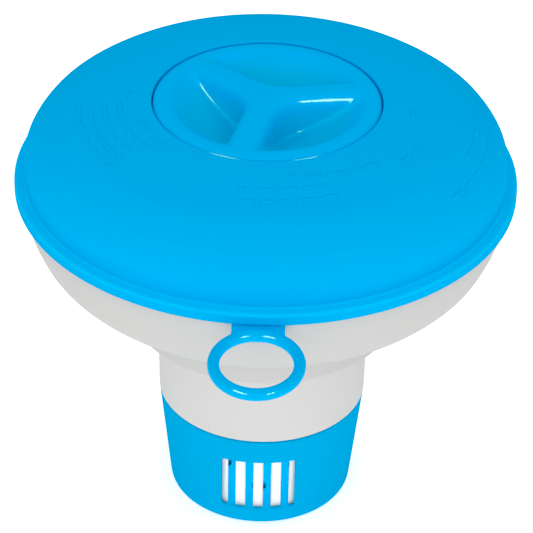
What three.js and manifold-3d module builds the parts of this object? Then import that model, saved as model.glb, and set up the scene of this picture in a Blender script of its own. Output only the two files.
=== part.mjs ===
// Floating chlorine dispenser: a blue domed float shell over a white bowl, a tablet tube through the middle,
// a twist-lock cap with three finger wells on top and a turning regulator cup at the bottom.
// Millimetres, +Z up. Origin: centre of the flat base of the regulator cup. The tether eye points to -Y.
import * as THREE from 'three';
import { mergeVertices } from 'three/addons/utils/BufferGeometryUtils.js';
import Module from 'manifold-3d';

const wasm = await Module();
wasm.setup();

// ---------------------------------------------------------------- driving dimensions
const SEGMENTS = 40;          // facets round every turned part
const GAP = 0.3;              // space left between pieces that touch or seal

// heights of the joints between the pieces
const CUP_TOP_Z = 41.3;       // lip of the regulator cup
const COLLAR_Z = 76;          // underside of the bowl's collar
const RIM_Z = 129.5;          // lower edge of the blue rim lip
const CAP_TOP_Z = 163.3;      // edge of the cap's top, level with the dome

// float shells
const RIM_R = 89;             // outer edge of the rim lip: half of 178 mm
const LIP_WALL = 1.8;         // thickness of the hanging lip
const LIP_H = 4.3;            // rim lip, bottom edge to top face
const SHELL_WALL = 2.2;
const DOME_FOOT_R = 85.1;     // where the dome stands on the rim lip
const SKIRT_R = 83.2;         // skirt that hangs inside the bowl's rim and centres it
const SKIRT_WALL = 1.3;
const BOWL_RIM_R = 86.3;
const BOWL_WALL = 2;
const COLLAR_R = 49.2;
const COLLAR_H = 10;

// tablet tube
const TUBE_R = 38.9;
const TUBE_WALL = 1.9;
const NECK_TOP_R = 38.5;      // the neck that shows narrows a little from just under the collar
const NECK_END_R = 38;        // down to this just above the cup
const TUBE_COLLAR_R = 42.5;   // the two clamping collars on the tube
const TUBE_COLLAR_H = 2;

// locking cap
const CAP_R = 40.1;
const CAP_CROWN = 2.3;        // the cap's top swells by this much from its edge to its middle
const CAP_FLANGE_H = 3;
const CAP_PLATE_H = 2.4;
const CAP_SKIRT_R = 34.6;
const CAP_SKIRT_Z = 146;
const CAP_WALL = 2;
const ARM_ANGLE = 16;         // direction of one of the three arms between the wells, in degrees
const ARM_HALF_W = 5;
const WELL_R = 33.5;          // outer edge of the finger wells
const WELL_DEPTH = 13;
const WELL_FLOOR_R = 7;       // the scooped floor starts to rise here
const WELL_POWER = 1.35;      // bend of the floor: 1 is a straight slope, 2 a quarter ellipse
const WELL_FILLET = 16;       // round inner corner of each well, seen from above
const WELL_CORNER = 2;        // round outer corners of each well

// bayonet between cap and tube
const LUG_R = 36.6;
const LUG_Z = 149.4;
const LUG_H = 2.5;
const LUG_HALF_ANGLE = 12;
const LEDGE_R = 34.9;
const LEDGE_H = 2.2;
const LEDGE_HALF_ANGLE = 16;
const LOCK_TURN = 40;         // clockwise turn from open to locked

// regulator cup and the tube's grille
const CUP_TOP_R = 37.9;
const CUP_BASE_R = 33.5;
const CUP_WALL = 1.9;
const CUP_FLOOR = 2.4;
const CUP_CORNER = 1.8;
const WINDOW_HALF_W = 13.3;
const WINDOW_Z = [7.6, 30.7];
const SLOT_W = 2.9;
const SLOT_PITCH = 6.5;
const SLOTS_PER_SIDE = 4;
const SLOT_Z = [4.6, 32.4];
const DRAIN_R = 2.6;
const DRAIN_CIRCLE_R = 13.5;
const DRAIN_COUNT = 4;
const REGULATOR_TURN = 60;    // travel of the cup between its stops
const STOP_HALF_ANGLE = 4;

// tether eye
const EYE_Y = -107.7;         // centre of the eye
const EYE_SECTION_R = 2;
const EYE_MID_R = 14.1;       // middle of the round section, sideways
const EYE_STRETCH = 1.15;     // the eye is a little longer than it is wide
const TAB_W = 17.8;
const TAB_H = 4;

// ---------------------------------------------------------------- shape helpers
const radians = (degrees) => THREE.MathUtils.degToRad(degrees);

function toSolid(geometry) {
  const bare = geometry.index ? geometry.toNonIndexed() : geometry.clone();
  bare.deleteAttribute('normal');
  bare.deleteAttribute('uv');
  const merged = mergeVertices(bare, 1e-4);
  const mesh = new wasm.Mesh({
    numProp: 3,
    vertProperties: new Float32Array(merged.attributes.position.array),
    triVerts: new Uint32Array(merged.index.array),
  });
  mesh.merge();
  return new wasm.Manifold(mesh);
}

function toGeometry(solid) {
  const mesh = solid.getMesh();
  const geometry = new THREE.BufferGeometry();
  geometry.setAttribute('position', new THREE.BufferAttribute(mesh.vertProperties, 3));
  geometry.setIndex(new THREE.BufferAttribute(mesh.triVerts, 1));
  geometry.computeVertexNormals();
  return geometry;
}

// Turns a closed outline of [radius, height] points, listed anticlockwise, round the Z axis.
function turned(outline) {
  const points = outline.map(([r, z]) => new THREE.Vector2(r, z));
  points.push(points[0].clone());
  const geometry = new THREE.LatheGeometry(points, SEGMENTS);
  geometry.rotateX(Math.PI / 2);
  return toSolid(geometry);
}

// A flat shape raised from z0 to z1.
function prism(shape, z0, z1, curveSegments) {
  const geometry = new THREE.ExtrudeGeometry(shape, { depth: z1 - z0, bevelEnabled: false, curveSegments });
  geometry.translate(0, 0, z0);
  return toSolid(geometry);
}

function block(width, depth, height, x, y, z) {
  const geometry = new THREE.BoxGeometry(width, depth, height);
  geometry.translate(x, y, z);
  return toSolid(geometry);
}

// A piece of a ring between two radii and two angles, raised from z0 to z1.
function ringSector(r0, r1, fromDegrees, toDegrees, z0, z1) {
  const shape = new THREE.Shape();
  shape.absarc(0, 0, r1, radians(fromDegrees), radians(toDegrees), false);
  shape.absarc(0, 0, r0, radians(toDegrees), radians(fromDegrees), true);
  return prism(shape, z0, z1, 4);
}

function flatRing(r0, r1, z0, z1) {
  return turned([[r0, z0], [r1, z0], [r1, z1], [r0, z1]]);
}

// Smooth curve through a few [radius, height] points.
function smooth(points, steps) {
  const curve = new THREE.SplineCurve(points.map(([r, z]) => new THREE.Vector2(r, z)));
  return curve.getPoints(steps).map((p) => [p.x, p.y]);
}

// The same curve moved sideways by a distance, to the left of its direction when the distance is positive.
function offset(points, distance) {
  return points.map(([r, z], i) => {
    const [r0, z0] = points[Math.max(i - 1, 0)];
    const [r1, z1] = points[Math.min(i + 1, points.length - 1)];
    const length = Math.hypot(r1 - r0, z1 - z0);
    return [r - (distance * (z1 - z0)) / length, z + (distance * (r1 - r0)) / length];
  });
}

// ---------------------------------------------------------------- float shells
const LIP_TOP_Z = RIM_Z + LIP_H;
const CAP_SEAT_R = CAP_R + 0.6;
const CAP_SEAT_Z = CAP_TOP_Z - CAP_FLANGE_H - 1 - 2 * GAP;
const SEAT_WALL_R = CAP_SEAT_R + SHELL_WALL;
const NECK_BORE_R = TUBE_R + GAP;
const NECK_R = NECK_BORE_R + SHELL_WALL;
const NECK_FOOT_Z = 144.6;
const CHANNEL_TOP_Z = RIM_Z + 2.5;
const INNER_SKIRT_Z = RIM_Z - 4;

// Outside of the dome, from the rim lip up to the cap opening.
const domeCurve = smooth([
  [DOME_FOOT_R, LIP_TOP_Z + 0.2],
  [DOME_FOOT_R, 139],
  [DOME_FOOT_R - 0.3, 143.6],
  [82.2, 148.6],
  [78.4, 152.8],
  [70.3, 157.9],
  [60, 160.5],
  [50, 162.2],
  [CAP_SEAT_R, CAP_TOP_Z],
], 10);

function tetherEye() {
  const torus = new THREE.TorusGeometry(EYE_MID_R, EYE_SECTION_R, 8, 24);
  torus.scale(1, EYE_STRETCH, 1);
  torus.translate(0, EYE_Y, RIM_Z - EYE_SECTION_R);
  const tabInnerY = -(RIM_R - LIP_WALL + 0.1);
  const tabOuterY = EYE_Y + EYE_MID_R * EYE_STRETCH;
  const tabDepth = tabInnerY - tabOuterY + 1;
  const tab = block(TAB_W, tabDepth, TAB_H, 0, tabInnerY - tabDepth / 2, RIM_Z - TAB_H / 2);
  const root = block(TAB_W, LIP_WALL - 0.3, 1, 0, tabInnerY - (LIP_WALL - 0.3) / 2, RIM_Z);
  return toSolid(torus).add(tab).add(root);
}

function topFloatShell() {
  const inside = offset(domeCurve, SHELL_WALL).reverse();
  inside[0] = [SEAT_WALL_R, inside[0][1]];
  inside[inside.length - 1] = [DOME_FOOT_R - SHELL_WALL, LIP_TOP_Z];
  const shell = turned([
    [NECK_BORE_R, NECK_FOOT_Z],
    [NECK_R, NECK_FOOT_Z],
    [NECK_R, CAP_SEAT_Z - SHELL_WALL],
    [SEAT_WALL_R, CAP_SEAT_Z - SHELL_WALL],
    ...inside,
    [SKIRT_R - SKIRT_WALL, LIP_TOP_Z - 1],
    [SKIRT_R - SKIRT_WALL, INNER_SKIRT_Z],
    [SKIRT_R, INNER_SKIRT_Z],
    [SKIRT_R, CHANNEL_TOP_Z],
    [RIM_R - LIP_WALL, CHANNEL_TOP_Z],
    [RIM_R - LIP_WALL, RIM_Z],
    [RIM_R, RIM_Z],
    [RIM_R, LIP_TOP_Z - 1],
    [RIM_R - 1, LIP_TOP_Z],
    ...domeCurve,
    [CAP_SEAT_R, CAP_SEAT_Z],
    [NECK_BORE_R, CAP_SEAT_Z],
  ]);
  return shell.add(tetherEye());
}

// Outside of the bowl, from its collar up to its rim.
const bowlCurve = smooth([
  [COLLAR_R, COLLAR_Z + COLLAR_H],
  [51.3, 88],
  [57.8, 91.2],
  [70, 98.5],
  [79, 107],
  [83.3, 115.3],
  [85.8, 123.4],
  [BOWL_RIM_R, RIM_Z],
], 8);

const COLLAR_FLOOR_Z = COLLAR_Z + SHELL_WALL;
const BOWL_TOP_Z = CHANNEL_TOP_Z - 0.8 - 2 * GAP;

function bottomFloatShell() {
  const inside = offset(bowlCurve, BOWL_WALL).reverse();
  inside[0] = [BOWL_RIM_R - BOWL_WALL, RIM_Z];
  inside[inside.length - 1] = [COLLAR_R - BOWL_WALL, COLLAR_Z + COLLAR_H + 1];
  return turned([
    [NECK_BORE_R, COLLAR_Z],
    [COLLAR_R, COLLAR_Z],
    ...bowlCurve,
    [BOWL_RIM_R, BOWL_TOP_Z],
    [BOWL_RIM_R - BOWL_WALL, BOWL_TOP_Z],
    ...inside,
    [COLLAR_R - BOWL_WALL, COLLAR_FLOOR_Z],
    [NECK_BORE_R, COLLAR_FLOOR_Z],
  ]);
}

const seamGasket = () => flatRing(
  BOWL_RIM_R - BOWL_WALL + 0.2, RIM_R - LIP_WALL - GAP, BOWL_TOP_Z + GAP, CHANNEL_TOP_Z - GAP,
);

// ---------------------------------------------------------------- tablet tube and its seals
const SEAL_H = 1.7;
const UPPER_COLLAR_Z = NECK_FOOT_Z - 2 * GAP - SEAL_H - TUBE_COLLAR_H;
const LOWER_COLLAR_Z = COLLAR_FLOOR_Z + 2 * GAP + SEAL_H;
const TUBE_TOP_Z = CAP_SEAT_Z - GAP;
const NECK_END_Z = CUP_TOP_Z + GAP;
const TUBE_BASE_Z = CUP_FLOOR + 0.5;
const LEDGE_Z = LUG_Z + LUG_H + GAP;
const DRAG_GROOVE_Z = [34.2, 36.1];
const SNAP_GROOVE_Z = [37.6, 39.8];
const GROOVE_DEPTH = 1.2;

const cupOuterR = (z) => CUP_BASE_R + ((CUP_TOP_R - CUP_BASE_R) * z) / CUP_TOP_Z;
const cupInnerR = (z) => cupOuterR(z) - CUP_WALL;
const sleeveOuterR = (z) => cupInnerR(z) - 0.35;

function grilleSlots() {
  const slots = [];
  for (let i = 0; i < SLOTS_PER_SIDE; i += 1) {
    const x = (i - (SLOTS_PER_SIDE - 1) / 2) * SLOT_PITCH;
    slots.push(block(SLOT_W, 2 * TUBE_R, SLOT_Z[1] - SLOT_Z[0], x, 0, (SLOT_Z[0] + SLOT_Z[1]) / 2));
  }
  return slots;
}

function bayonetLedges() {
  const ledges = [];
  for (let k = 0; k < 3; k += 1) {
    const middle = 120 * k - LOCK_TURN;
    const far = middle - LEDGE_HALF_ANGLE;
    const inTube = TUBE_R - TUBE_WALL + 0.5;
    ledges.push(ringSector(LEDGE_R, inTube, far, middle + LEDGE_HALF_ANGLE, LEDGE_Z, LEDGE_Z + LEDGE_H));
    ledges.push(ringSector(LEDGE_R, inTube, far - 3, far + 1, LUG_Z, LEDGE_Z + LEDGE_H - 0.2));
  }
  return ledges;
}

function tabletTube() {
  const grooved = ([z0, z1]) => [
    [sleeveOuterR(z0), z0],
    [sleeveOuterR(z0) - GROOVE_DEPTH, z0],
    [sleeveOuterR(z1) - GROOVE_DEPTH, z1],
    [sleeveOuterR(z1), z1],
  ];
  const innerR = TUBE_R - TUBE_WALL;
  let tube = turned([
    [sleeveOuterR(TUBE_BASE_Z) - TUBE_WALL, TUBE_BASE_Z],
    [sleeveOuterR(TUBE_BASE_Z), TUBE_BASE_Z],
    ...grooved(DRAG_GROOVE_Z),
    ...grooved(SNAP_GROOVE_Z),
    [sleeveOuterR(NECK_END_Z), NECK_END_Z],
    [NECK_END_R, NECK_END_Z],
    [NECK_TOP_R, COLLAR_Z - 2],
    [TUBE_R, COLLAR_Z],
    [TUBE_R, LOWER_COLLAR_Z],
    [TUBE_COLLAR_R, LOWER_COLLAR_Z],
    [TUBE_COLLAR_R, LOWER_COLLAR_Z + TUBE_COLLAR_H],
    [TUBE_R, LOWER_COLLAR_Z + TUBE_COLLAR_H],
    [TUBE_R, UPPER_COLLAR_Z],
    [TUBE_COLLAR_R, UPPER_COLLAR_Z],
    [TUBE_COLLAR_R, UPPER_COLLAR_Z + TUBE_COLLAR_H],
    [TUBE_R, UPPER_COLLAR_Z + TUBE_COLLAR_H],
    [TUBE_R, TUBE_TOP_Z],
    [innerR, TUBE_TOP_Z],
    [innerR, COLLAR_Z - 3],
    [NECK_END_R - TUBE_WALL, NECK_END_Z + 3],
    [sleeveOuterR(SNAP_GROOVE_Z[1]) - GROOVE_DEPTH - 1.6, NECK_END_Z],
    [sleeveOuterR(DRAG_GROOVE_Z[0]) - GROOVE_DEPTH - 1.6, DRAG_GROOVE_Z[0]],
    [sleeveOuterR(SLOT_Z[1]) - TUBE_WALL, SLOT_Z[1] - 1],
  ]);
  for (const slot of grilleSlots()) {
    tube = tube.subtract(slot);
  }
  for (const ledge of bayonetLedges()) {
    tube = tube.add(ledge);
  }
  const travelMiddle = REGULATOR_TURN / 2;
  const travelHalf = REGULATOR_TURN / 2 + STOP_HALF_ANGLE + 1.5;
  for (const side of [0, 180]) {
    const middle = side + travelMiddle;
    tube = tube.subtract(ringSector(25, 36, middle - travelHalf, middle + travelHalf, 0, STOP_TOP_Z + GAP));
  }
  return tube;
}

const upperTubeSeal = () => flatRing(
  NECK_BORE_R, TUBE_R + SHELL_WALL, UPPER_COLLAR_Z + TUBE_COLLAR_H + GAP, NECK_FOOT_Z - GAP,
);
const lowerTubeSeal = () => flatRing(
  NECK_BORE_R, TUBE_COLLAR_R - 0.5, COLLAR_FLOOR_Z + GAP, LOWER_COLLAR_Z - GAP,
);
const dragRing = () => flatRing(
  sleeveOuterR(DRAG_GROOVE_Z[0]) - GROOVE_DEPTH + 0.2,
  cupInnerR(DRAG_GROOVE_Z[0]) - 0.25,
  DRAG_GROOVE_Z[0] + 0.25,
  DRAG_GROOVE_Z[1] - 0.25,
);

// ---------------------------------------------------------------- regulator cup
const STOP_TOP_Z = 5.2;

function regulatorCup() {
  const bead = (SNAP_GROOVE_Z[0] + SNAP_GROOVE_Z[1]) / 2;
  const beadR = cupInnerR(bead) - 0.9;
  let cup = turned([
    [0, 0],
    [CUP_BASE_R - CUP_CORNER, 0],
    [CUP_BASE_R - 0.5, 0.5],
    [cupOuterR(CUP_CORNER), CUP_CORNER],
    [CUP_TOP_R, CUP_TOP_Z],
    [cupInnerR(CUP_TOP_Z), CUP_TOP_Z],
    [cupInnerR(bead + 0.7), bead + 0.7],
    [beadR, bead + 0.3],
    [beadR, bead - 0.3],
    [cupInnerR(bead - 0.7), bead - 0.7],
    [cupInnerR(CUP_FLOOR), CUP_FLOOR],
    [0, CUP_FLOOR],
  ]);
  const windowH = WINDOW_Z[1] - WINDOW_Z[0];
  cup = cup.subtract(block(2 * WINDOW_HALF_W, 90, windowH, 0, 0, (WINDOW_Z[0] + WINDOW_Z[1]) / 2));
  for (let k = 0; k < DRAIN_COUNT; k += 1) {
    const angle = radians(-90 + (360 / DRAIN_COUNT) * k);
    const hole = new THREE.CylinderGeometry(DRAIN_R, DRAIN_R, 4 * CUP_FLOOR, 12);
    hole.rotateX(Math.PI / 2);
    hole.translate(DRAIN_CIRCLE_R * Math.cos(angle), DRAIN_CIRCLE_R * Math.sin(angle), CUP_FLOOR);
    cup = cup.subtract(toSolid(hole));
  }
  for (const side of [0, 180]) {
    const r1 = cupInnerR(STOP_TOP_Z) + 0.4;
    cup = cup.add(ringSector(29, r1, side - STOP_HALF_ANGLE, side + STOP_HALF_ANGLE, 1, STOP_TOP_Z));
  }
  return cup;
}

// ---------------------------------------------------------------- locking cap
// Outline of one finger well, seen from above and centred on the +X direction. Its two straight sides run
// parallel to the arms at +60 and -60 degrees, a large fillet joins them near the middle of the cap, and
// an arc about the cap's axis closes it on the outside.
function wellShape(grow) {
  const side = ARM_HALF_W - grow;
  const fillet = WELL_FILLET + grow;
  const corner = WELL_CORNER + grow;
  const outer = WELL_R + grow;
  const along = Math.sqrt((outer - corner) ** 2 - (side + corner) ** 2);
  const arm = radians(60);
  const cx = along * Math.cos(arm) + (side + corner) * Math.sin(arm);
  const cy = along * Math.sin(arm) - (side + corner) * Math.cos(arm);
  const cornerAngle = Math.atan2(cy, cx);
  const normal = radians(150);
  const filletX = (side + fillet) / Math.sin(arm);
  const shape = new THREE.Shape();
  shape.absarc(0, 0, outer, -cornerAngle, cornerAngle, false);
  shape.absarc(cx, cy, corner, cornerAngle, normal, false);
  shape.absarc(filletX, 0, fillet, normal, 2 * Math.PI - normal, false);
  shape.absarc(cx, -cy, corner, -normal, -cornerAngle, false);
  return shape;
}

const WELL_OPEN_Z = CAP_TOP_Z + CAP_CROWN + 1;

// Everything above the scooped floor, which rises as part of a superellipse towards the rim of the well.
function scoop(grow) {
  const steps = 6;
  const bend = 2 / WELL_POWER;
  const reach = WELL_R - WELL_FLOOR_R + grow;
  const depth = WELL_DEPTH + grow;
  const floor = [];
  for (let i = 0; i <= steps; i += 1) {
    const angle = (Math.PI / 2) * (i / steps);
    const out = i === 0 ? 0 : Math.sin(angle) ** bend;
    const down = i === steps ? 0 : Math.cos(angle) ** bend;
    floor.push([WELL_FLOOR_R + reach * out, CAP_TOP_Z - depth * down]);
  }
  return turned([[0, CAP_TOP_Z - depth], ...floor, [WELL_R + grow, WELL_OPEN_Z], [0, WELL_OPEN_Z]]);
}

function wells(grow) {
  const bowl = scoop(grow);
  const lowest = CAP_TOP_Z - WELL_DEPTH - grow - 1;
  return [60, 180, 300].map((turn) => {
    const leaf = prism(wellShape(grow), lowest, WELL_OPEN_Z, 6);
    return leaf.rotate([0, 0, ARM_ANGLE + turn]).intersect(bowl);
  });
}

// Crowned top of the cap, or a surface a little below it, as [radius, height] points from the axis outwards.
function crown(depth, reach) {
  const steps = 6;
  const points = [];
  for (let i = 0; i <= steps; i += 1) {
    const r = (reach * i) / steps;
    points.push([r, CAP_TOP_Z + CAP_CROWN * (1 - (r / (CAP_R - 1)) ** 2) - depth]);
  }
  return points;
}

function lockingCap() {
  const flangeZ = CAP_TOP_Z - CAP_FLANGE_H;
  let cap = turned([
    ...crown(CAP_PLATE_H, CAP_SKIRT_R - CAP_WALL),
    [CAP_SKIRT_R - CAP_WALL, CAP_SKIRT_Z],
    [CAP_SKIRT_R, CAP_SKIRT_Z],
    [CAP_SKIRT_R, flangeZ],
    [CAP_R, flangeZ],
    [CAP_R, CAP_TOP_Z - 1],
    ...crown(0, CAP_R - 1).reverse(),
  ]);
  const coreR = CAP_SKIRT_R - 0.3;
  const core = turned([[0, CAP_SKIRT_Z - 5], [coreR, CAP_SKIRT_Z - 5], ...crown(1, coreR).reverse()]);
  for (const pocket of wells(CAP_WALL)) {
    cap = cap.add(pocket.intersect(core));
  }
  for (const well of wells(0)) {
    cap = cap.subtract(well);
  }
  for (let k = 0; k < 3; k += 1) {
    const middle = 120 * k;
    cap = cap.add(ringSector(
      CAP_SKIRT_R - 1, LUG_R, middle - LUG_HALF_ANGLE, middle + LUG_HALF_ANGLE, LUG_Z, LUG_Z + LUG_H,
    ));
  }
  return cap;
}

const capSeal = () => flatRing(
  CAP_SKIRT_R + 1, CAP_SEAT_R - 0.4, CAP_SEAT_Z + GAP, CAP_TOP_Z - CAP_FLANGE_H - GAP,
);

// ---------------------------------------------------------------- materials and assembly
const bluePlastic = new THREE.MeshStandardMaterial({ color: 0x00aeec, roughness: 0.3, metalness: 0 });
const whitePlastic = new THREE.MeshStandardMaterial({ color: 0xe4e4e2, roughness: 0.5, metalness: 0 });
const sealRubber = new THREE.MeshStandardMaterial({ color: 0x2b2d30, roughness: 0.8, metalness: 0 });

const dispenser = new THREE.Group();

function addPart(name, solid, material) {
  const mesh = new THREE.Mesh(toGeometry(solid), material);
  mesh.name = name;
  dispenser.add(mesh);
}

addPart('locking_cap', lockingCap(), bluePlastic);
addPart('cap_seal', capSeal(), sealRubber);
addPart('top_float_shell', topFloatShell(), bluePlastic);
addPart('float_seam_gasket', seamGasket(), sealRubber);
addPart('bottom_float_shell', bottomFloatShell(), whitePlastic);
addPart('tablet_tube', tabletTube(), whitePlastic);
addPart('upper_tube_seal', upperTubeSeal(), sealRubber);
addPart('lower_tube_seal', lowerTubeSeal(), sealRubber);
addPart('regulator_drag_ring', dragRing(), sealRubber);
addPart('regulator_cup', regulatorCup(), bluePlastic);

export default dispenser;
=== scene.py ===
"""Floating chlorine dispenser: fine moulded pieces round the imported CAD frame, with camera, floor and lights.

Shapes are worked out in millimetres in the CAD frame (+Z up, origin at the centre of the cup's flat base,
the tether eye towards -Y) and scaled to metres when a mesh is made. Turned pieces come from rounded outlines.
The cap, the cup and the tether eye come from distance functions, so that their edges are truly rounded.
"""

import math
import random

import bpy
import numpy as np
from mathutils import Matrix, Vector


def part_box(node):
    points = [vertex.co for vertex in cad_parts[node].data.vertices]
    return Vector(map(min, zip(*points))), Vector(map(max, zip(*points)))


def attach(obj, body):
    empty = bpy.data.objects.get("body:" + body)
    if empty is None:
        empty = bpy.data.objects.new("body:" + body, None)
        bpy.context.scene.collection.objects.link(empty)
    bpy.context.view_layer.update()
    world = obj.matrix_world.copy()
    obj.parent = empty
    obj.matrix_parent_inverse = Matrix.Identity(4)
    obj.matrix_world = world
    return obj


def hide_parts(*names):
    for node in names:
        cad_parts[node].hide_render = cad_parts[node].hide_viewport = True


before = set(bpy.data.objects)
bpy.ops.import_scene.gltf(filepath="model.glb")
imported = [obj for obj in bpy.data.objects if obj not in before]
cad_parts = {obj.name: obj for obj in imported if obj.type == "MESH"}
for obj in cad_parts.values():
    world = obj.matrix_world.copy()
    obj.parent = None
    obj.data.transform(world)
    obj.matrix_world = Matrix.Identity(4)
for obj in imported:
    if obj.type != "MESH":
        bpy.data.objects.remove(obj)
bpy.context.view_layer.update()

# ---------------------------------------------------------------- dimensions, as in the CAD
MM = 0.001
GAP = 0.3               # clearance between neighbouring pieces

# Heights of the cup's top, the bowl's collar, the rim and the cap's top.
CUP_TOP_Z, COLLAR_Z, RIM_Z, CAP_TOP_Z = 41.3, 76.0, 129.5, 163.3

# The float: dome with lip, inner skirt and inner neck, and bowl with collar.
RIM_R, LIP_WALL, LIP_H, SHELL_WALL, DOME_FOOT_R = 89.0, 1.8, 4.3, 2.2, 85.1
SKIRT_R, SKIRT_WALL, NECK_FOOT_Z = 83.2, 1.3, 144.6
BOWL_RIM_R, BOWL_WALL, COLLAR_R, COLLAR_H = 86.3, 2.0, 49.2, 10.0

# The tether eye and its tab.
EYE_Y, EYE_SECTION_R, EYE_MID_R, EYE_STRETCH, TAB_W, TAB_H = -107.7, 2.0, 14.1, 1.15, 17.8, 4.0

# The tablet tube: neck, collars, slots, grooves for the drag ring and the snap bead, stop notches.
TUBE_R, TUBE_WALL, NECK_TOP_R, NECK_END_R = 38.9, 1.9, 38.5, 38.0
TUBE_COLLAR_R, TUBE_COLLAR_H, SEAL_H = 42.5, 2.0, 1.7
SLOT_W, SLOT_PITCH, SLOTS_PER_SIDE, SLOT_Z0, SLOT_Z1 = 2.9, 6.5, 4, 4.6, 32.4
DRAG_Z0, DRAG_Z1, SNAP_Z0, SNAP_Z1, GROOVE_DEPTH, GROOVE_WALL = 34.2, 36.1, 37.6, 39.8, 1.2, 1.6
SLEEVE_GAP = 0.35       # between the tube's lower end and the cup
NOTCH_R0, NOTCH_R1, NOTCH_EASE = 25.0, 36.0, 1.5

# The cap and its finger wells.
CAP_R, CAP_CROWN, CAP_FLANGE_H, CAP_PLATE_H = 40.1, 2.3, 3.0, 2.4
CAP_SKIRT_R, CAP_SKIRT_Z, CAP_WALL = 34.6, 146.0, 2.0
ARM_ANGLE, ARM_HALF_W = 16.0, 5.0
WELL_R, WELL_DEPTH, WELL_FLOOR_R, WELL_POWER, WELL_FILLET, WELL_CORNER = 33.5, 13.0, 7.0, 1.35, 16.0, 2.5

# The bayonet between the cap and the tube.
LUG_R, LUG_Z, LUG_H, LUG_HALF_ANGLE = 36.6, 149.4, 2.5, 12.0
LEDGE_R, LEDGE_H, LEDGE_HALF_ANGLE, LOCK_TURN = 34.9, 2.2, 16.0, 40.0

# The regulator cup: window, drain holes and stop posts.
CUP_TOP_R, CUP_BASE_R, CUP_WALL, CUP_FLOOR = 37.9, 33.5, 1.9, 2.4
WINDOW_HALF_W, WINDOW_Z0, WINDOW_Z1 = 13.3, 7.6, 30.7
DRAIN_R, DRAIN_CIRCLE_R, DRAIN_COUNT = 2.6, 13.5, 4
STOP_HALF_ANGLE, STOP_R, STOP_Z0, STOP_Z1, REGULATOR_TURN = 4.0, 29.0, 1.0, 5.2, 60.0

# Radii and heights that follow from these.
LIP_TOP_Z = RIM_Z + LIP_H
CAP_SEAT_R = CAP_R + 0.6
CAP_SEAT_Z = CAP_TOP_Z - CAP_FLANGE_H - 1 - 2 * GAP
SEAT_WALL_R = CAP_SEAT_R + SHELL_WALL
NECK_BORE_R = TUBE_R + GAP
NECK_R = NECK_BORE_R + SHELL_WALL
CHANNEL_TOP_Z = RIM_Z + 2.5
INNER_SKIRT_Z = RIM_Z - 4
COLLAR_FLOOR_Z = COLLAR_Z + SHELL_WALL
BOWL_TOP_Z = CHANNEL_TOP_Z - 0.8 - 2 * GAP
UPPER_COLLAR_Z = NECK_FOOT_Z - 2 * GAP - SEAL_H - TUBE_COLLAR_H
LOWER_COLLAR_Z = COLLAR_FLOOR_Z + 2 * GAP + SEAL_H
TUBE_TOP_Z = CAP_SEAT_Z - GAP
NECK_END_Z = CUP_TOP_Z + GAP
TUBE_BASE_Z = CUP_FLOOR + 0.5
LEDGE_Z = LUG_Z + LUG_H + GAP

# ---------------------------------------------------------------- what the fine pieces add to the CAD
SEGMENTS, TUBE_SEGMENTS, RING_SEGMENTS = 240, 192, 160     # facets round a turned piece
CURVE_STEPS = 8                                            # points between two given points of a curve
CAP_PITCH, CUP_PITCH, EYE_PITCH = 0.52, 0.55, 0.36         # grid of a piece made from a distance function
NET_MARGIN = 1.2                                           # room above and below such a piece, in its grid
PLACE_TOLERANCE = 0.0012                                   # metres that a piece may differ from its CAD node
# Half widths of these grids, and how far the eye's grid reaches out from the eye's middle.
CAP_NET_HALF, CUP_NET_HALF, EYE_NET_HALF, EYE_NET_OUT = 42.0, 39.3, 17.2, 18.6

# A finer slit round the cap, and a softer cap edge.
CAP_EDGE_R, SEAT_EDGE_R, CAP_EDGE_FILLET = CAP_R + 0.22, CAP_SEAT_R - 0.22, 2.4
# The wells' draft, their inner and outer rounding, and how far they are drawn in to make up for the rounding.
WELL_DRAFT, CREASE_BLEND, WELL_BLEND, WELL_TIGHT = 0.12, 2.2, 4.8, 1.0
# The groove above the bowl's collar.
CREASE_H, CREASE_DEPTH = 0.9, 0.5
# Raised marks on the dome: height, depth of the root, width, and the shares of width and height at an end.
RELIEF_H, RELIEF_ROOT, LINE_W, END_W, END_H = 0.24, 0.5, 1.8, 0.62, 0.45
# Lengths of the dashes, the gap between two of them and the shortest rest of a row that still gets one.
DASH_MIN, DASH_MAX, DASH_GAP, ROW_REST = 2.6, 8.0, 1.6, 1.8
# Rows of raised dashes: radius at the start and at the end, then the angles of the two ends in degrees.
RELIEF_ROWS = (
    (66.0, 66.0, 180, 221), (61.5, 61.5, 182, 219), (56.8, 56.8, 183, 215), (51.5, 51.5, 183, 219),
    (46.0, 46.0, 200, 225), (49.0, 53.5, 280, 316), (55.5, 55.5, 261, 293), (61.0, 61.0, 262, 297),
    (51.0, 51.0, 353, 360), (58.0, 58.0, 324, 335), (78.2, 78.2, 325, 376), (73.4, 73.4, 341, 375),
)


# ---------------------------------------------------------------- outlines
def smooth(points, steps):
    """Catmull-Rom curve through the points, the same curve as in the CAD, with more steps."""
    p = np.array(points, float)
    out = []
    last = len(p) - 1
    for i in range(last):
        a, b, c, d = p[max(i - 1, 0)], p[i], p[i + 1], p[min(i + 2, last)]
        for k in range(steps):
            t = k / steps
            v0, v1 = (c - a) / 2, (d - b) / 2
            cubic, square = 2 * b - 2 * c + v0 + v1, -3 * b + 3 * c - 2 * v0 - v1
            out.append(cubic * t ** 3 + square * t ** 2 + v0 * t + b)
    out.append(p[last])
    return [tuple(q) for q in out]


def offset(points, distance):
    """The curve moved to the left of its direction by a distance."""
    out = []
    for i, (r, z) in enumerate(points):
        r0, z0 = points[max(i - 1, 0)]
        r1, z1 = points[min(i + 1, len(points) - 1)]
        n = math.hypot(r1 - r0, z1 - z0)
        out.append((r - distance * (z1 - z0) / n, z + distance * (r1 - r0) / n))
    return out


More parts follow.
